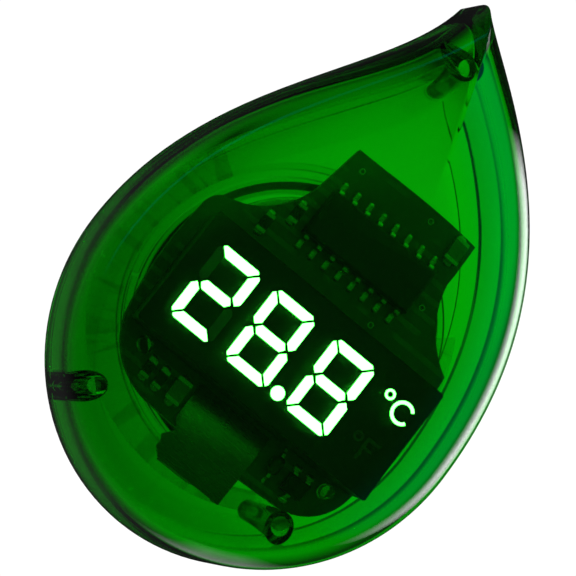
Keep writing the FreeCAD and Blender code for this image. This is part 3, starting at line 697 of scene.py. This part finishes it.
AT_POINTS = at_points_tree()
RESISTORS = ((-6.9, -9.3), (-5.6, -9.3), (-5.1, 6.9), (-6.6, 4.8))
CAPACITORS = ((-4.0, -9.2), (6.3, 12.4))
dabs = [(x, -BOARD_FRONT, z + side * 0.88) for x, z in RESISTORS for side in (1, -1)]
dabs += [(x, -BOARD_FRONT, z + side * 1.08) for x, z in CAPACITORS for side in (1, -1)]
dabs += [(7.5 + x, -BOARD_FRONT, -9.3 + z) for x, z in ((-0.6, 1.35), (0.6, 1.35), (0, -1.35))]
dab = one_dome(0.42, 0.2, 0.3, "one_dab")
finished(grown(empty_mesh("small_solder_dabs", dabs), AT_POINTS,
               {"Piece": dab, "Finish": reflowed_solder}), reflowed_solder, "case", degrees=50)
HOLES = ((-3.2, 12.6), (3.4, 12.9), (6.9, 7.4), (-8.6, -6.3), (4.6, 3.9))
ring = plated_ring(0.14, 0.27, 0.05)
finished(grown(empty_mesh("plated_holes", [(x, -BOARD_FRONT, z) for x, z in HOLES]), AT_POINTS,
               {"Piece": ring, "Finish": bright_tin}), bright_tin, "case", degrees=50)
for spare in (dab, ring):
    bpy.data.objects.remove(spare)
print("dabs:", len(dabs), "holes:", len(HOLES))

# %% [markdown]
# ## Mode key and its switch
# The key is a lever of the case's plastic that works a snap switch: a black nylon base, a steel
# snap dome and a small brown plunger of moulded phenolic.

# %% Switch
black_nylon = opaque_finish("black_nylon", "2A2B2C", "1B1C1D", 0.0, (0.45, 0.6), 0.2, 0.006)
brown_phenolic = opaque_finish("brown_phenolic", "4A2C1C", "38200F", 0.0, (0.3, 0.45), 0.2, 0.004)
wear("switch_base", black_nylon)
wear("switch_dome", rolled_steel)
wear("switch_plunger", brown_phenolic)

# %% [markdown]
# ## Display
# The digit module is a black-filled polycarbonate block. Its face is covered by a smoked film,
# and the digits are light windows of milky epoxy over small light sources. A lit window glows
# evenly and strongly, because its light has to get out through a green wall. A dark window is
# the same epoxy unlit, a shade paler than the face.

# %% Display finishes
def lit_window(name, colour, strength):
    """Milky epoxy that glows, a little less towards its cooler patches."""
    material, tree, out = new_material(name)
    glow = between(tree, grain(tree, 1.5, 1.0).outputs["Fac"], 0.95 * strength, 1.05 * strength)
    surface = add(tree, "ShaderNodeBsdfPrincipled", {
        "Base Color": srgb("D9DCD8"), "Roughness": 0.45, "Emission Color": srgb(colour),
        "Emission Strength": glow})
    tree.links.new(surface.outputs[0], out.inputs["Surface"])
    return material


black_polycarbonate = opaque_finish("black_filled_polycarbonate", "2A2E2B", "202321", 0.0,
                                    (0.3, 0.42), 0.25, 0.005)
smoked_film = opaque_finish("smoked_polyester_film", "181C1A", "131614", 0.0, (0.16, 0.22), 0.6,
                            0.001)
unlit_epoxy = opaque_finish("unlit_milky_epoxy", "3A4A3D", "334236", 0.0, (0.35, 0.5), 0.3, 0.002)
die_crystal = opaque_finish("light_die_crystal", "C9C28A", "A79F66", 0.0, (0.2, 0.35), 0.1, 0.002)
LIT_STRENGTH, MARK_STRENGTH = 24.0, 21.0
smooth_copy("display_case", "display_case_moulding", black_polycarbonate, "case", edge_mm=0.05)
wear("led_board", masked_laminate())
wear("display_film", smoked_film)
wear("segments_lit", lit_window("lit_milky_epoxy", "FFFFFF", LIT_STRENGTH))
wear("celsius_mark", lit_window("lit_unit_mark_epoxy", "FFFFFF", MARK_STRENGTH))
wear("fahrenheit_mark", unlit_epoxy)
wear("segments_dark", unlit_epoxy)
wear("led_dies", die_crystal)

# %% [markdown]
# ## Light
# There are no lamps. All light comes from the surroundings, which differ with direction and with
# the kind of ray, so they stand for no single real set of lamps.
# - A ray that goes on behind the drop, through the plastic, meets a white patch, dimmer to the
#   left. Round it the surroundings are dark, so the rim, which bends the line of sight outwards,
#   turns dark. This is bright-field light. Further out they are pale.
# - What the camera sees directly in that patch is plain white.
# - A mirror image on the outer surface shows dark surroundings with a few screens, some of them
#   blue-green, which draw the bright streaks along the rim.
# - Light that is thrown back by the parts inside is dimmed, most of all from in front.

# %% Surroundings
WHITE_PATCH = 24.0       # degrees from the line of sight
DARK_UNTIL = 60.0
LEFT_LIGHT, RIGHT_LIGHT = 0.38, 0.72
BACKDROP = 1.05          # brightness of what the camera sees directly
LEFT_FALL = 0.15         # share of the patch's light that is left far to the left
INSIDE_FRONT, INSIDE_BACK = 0.19, 0.75   # share of the light that reaches parts inside
MIRRORED = 0.012         # brightness of the surroundings in mirror images
RIM_LIGHT = 5.5          # pale screen behind on the right, in mirror images
LEFT_SHEEN = 0.022       # a faint one behind on the left
BOTTOM_LIGHT = 0.55      # a small one below
TEAL_SHEEN = 0.7         # and faint blue-green ones in front


def along(tree, axis):
    """How far the ray points along an axis, from -1 to 1."""
    direction = add(tree, "ShaderNodeTexCoord").outputs["Generated"]
    return add(tree, "ShaderNodeVectorMath", {0: direction, 1: tuple(axis.normalized())},
               operation="DOT_PRODUCT").outputs["Value"]


def combined(tree, operation, first, second, **settings):
    return add(tree, "ShaderNodeMath", {0: first, 1: second}, operation=operation,
               **settings).outputs[0]


def band(tree, value, low, high, soft):
    """One between low and high, falling to zero over a soft edge."""
    return combined(tree, "MULTIPLY", between(tree, value, 0.0, 1.0, low - soft, low),
                    between(tree, value, 1.0, 0.0, high, high + soft))


def emitted(tree, colour, strength):
    return add(tree, "ShaderNodeBackground", {"Color": colour, "Strength": strength}).outputs[0]


def mirrored_surroundings(tree):
    """What a mirror image on the outer surface shows: dark, with a few screens."""
    to_right, to_up, to_viewer = (along(tree, axis) for axis in (VIEW_RIGHT, VIEW_UP, towards))
    low_right = along(tree, VIEW_UP - VIEW_RIGHT * 0.2)
    to_flank = along(tree, VIEW_UP * 0.89 - VIEW_RIGHT * 0.45)
    screen = combined(tree, "MULTIPLY", between(tree, to_right, 0.0, RIM_LIGHT, 0.42, 0.7),
                      between(tree, to_viewer, 1.0, 0.0, -0.55, -0.2))
    screen = combined(tree, "MULTIPLY", screen, between(tree, low_right, 1.0, 0.0, -0.06, 0.015))
    sheen = combined(tree, "MULTIPLY", between(tree, to_right, LEFT_SHEEN, 0.0, -0.3, -0.1),
                     between(tree, to_viewer, 1.0, 0.0, -0.7, -0.3))
    below = combined(tree, "MULTIPLY", between(tree, to_up, BOTTOM_LIGHT, 0.0, -0.5, -0.35),
                     band(tree, to_right, -0.2, -0.05, 0.12))
    below = combined(tree, "MULTIPLY", below, between(tree, to_viewer, 1.0, 0.0, -0.5, -0.2))
    streak = combined(tree, "MULTIPLY", band(tree, to_viewer, 0.05, 0.12, 0.03),
                      between(tree, to_flank, 0.0, 0.8, 0.8, 0.95))
    corner = combined(tree, "MULTIPLY", between(tree, to_right, 0.0, 1.0, 0.5, 0.9),
                      between(tree, to_viewer, 0.0, 1.0, -0.35, 0.0))
    plain = combined(tree, "ADD", combined(tree, "ADD", screen, sheen), below)
    pale = emitted(tree, srgb("F4FBF6"), combined(tree, "ADD", plain, MIRRORED))
    cool = emitted(tree, srgb("00D2B4"), TEAL_SHEEN)
    teal = combined(tree, "MAXIMUM", corner, streak)
    return add(tree, "ShaderNodeMixShader", {0: teal, 1: pale, 2: cool}).outputs[0]


def lit_surroundings(tree, path):
    """The white patch behind, the dark round it and the pale surroundings further out."""
    ahead = add(tree, "ShaderNodeMath", {0: along(tree, -towards)}, operation="ARCCOSINE").outputs[0]
    to_right, to_viewer = along(tree, VIEW_RIGHT), along(tree, towards)
    edge, far = math.radians(WHITE_PATCH), math.radians(DARK_UNTIL)
    patch = between(tree, ahead, 1.0, 0.0, edge, edge + 0.05)
    above = between(tree, along(tree, VIEW_UP * 0.8 + VIEW_RIGHT * 0.6), 0.0, 1.0, 0.3, 0.5)
    patch = combined(tree, "MAXIMUM", patch, above)
    across = combined(tree, "MULTIPLY", between(tree, to_right, LEFT_LIGHT, RIGHT_LIGHT, -0.05, 0.05),
                      between(tree, to_right, LEFT_FALL, 1.0, -0.25, -0.05))
    across = between(tree, path.outputs["Is Camera Ray"], across, BACKDROP)
    thrown_back = combined(tree, "ADD", path.outputs["Glossy Depth"], path.outputs["Diffuse Depth"],
                           use_clamp=True)
    inside = combined(tree, "GREATER_THAN", path.outputs["Transmission Depth"], 0.5)
    dimmed = between(tree, to_viewer, INSIDE_BACK, INSIDE_FRONT, -0.2, 0.1)
    ambient = between(tree, combined(tree, "MULTIPLY", thrown_back, inside), 1.0, dimmed)
    outer = between(tree, ahead, 0.0, 1.0, edge + 0.15, far)
    rest = emitted(tree, blended(tree, outer, "585F5A", "D6DAD7"), ambient)
    white = emitted(tree, srgb("FFFFFF"), across)
    return add(tree, "ShaderNodeMixShader", {0: patch, 1: rest, 2: white}).outputs[0]


def studio_world():
    world = bpy.data.worlds.new("studio")
    bpy.context.scene.world = world
    world.use_nodes = True
    tree = world.node_tree
    tree.nodes.clear()
    path = add(tree, "ShaderNodeLightPath")
    bounced = combined(tree, "GREATER_THAN", path.outputs["Glossy Depth"], 0.5)
    outside = combined(tree, "LESS_THAN", path.outputs["Transmission Depth"], 1.5)
    mix = add(tree, "ShaderNodeMixShader", {0: combined(tree, "MULTIPLY", bounced, outside),
                                            1: lit_surroundings(tree, path),
                                            2: mirrored_surroundings(tree)})
    add(tree, "ShaderNodeOutputWorld", {"Surface": mix.outputs[0]})


# %% [markdown]
# ## Floor
# A matt, pale floor lies well below the drop. It is left out of mirror images and of what is seen
# through the plastic, where it would lay a grey haze over the green.

# %% Floor
def pale_floor_paint():
    """Matt, nearly white floor with a faint mottle."""
    material, tree, out = new_material("pale_floor_paint")
    tone = blended(tree, grain(tree, 30.0).outputs["Fac"], "E4E5E3", "EEEFED")
    surface = add(tree, "ShaderNodeBsdfPrincipled", {"Base Color": tone, "Roughness": 0.85})
    tree.links.new(surface.outputs[0], out.inputs["Surface"])
    return material


FLOOR_DROP = 110 * MM
FLOOR_SIZE = 4000 * MM
bm = bmesh.new()
bmesh.ops.create_grid(bm, x_segments=1, y_segments=1, size=FLOOR_SIZE / 2)
bm.transform(Matrix.Translation((0, 0, -FLOOR_DROP)))
floor = from_bmesh(bm, "pale_floor")
floor.data.materials.append(pale_floor_paint())
floor.visible_glossy = False
floor.visible_transmission = False

# %% [markdown]
# ## Light paths
# Light crosses many walls of clear plastic, so its paths may be long.

# %% World and light paths
studio_world()
scene = bpy.context.scene
scene.view_settings.view_transform = "Standard"
scene.cycles.max_bounces = 28
scene.cycles.transmission_bounces = 28
scene.cycles.glossy_bounces = 8
scene.cycles.transparent_max_bounces = 24
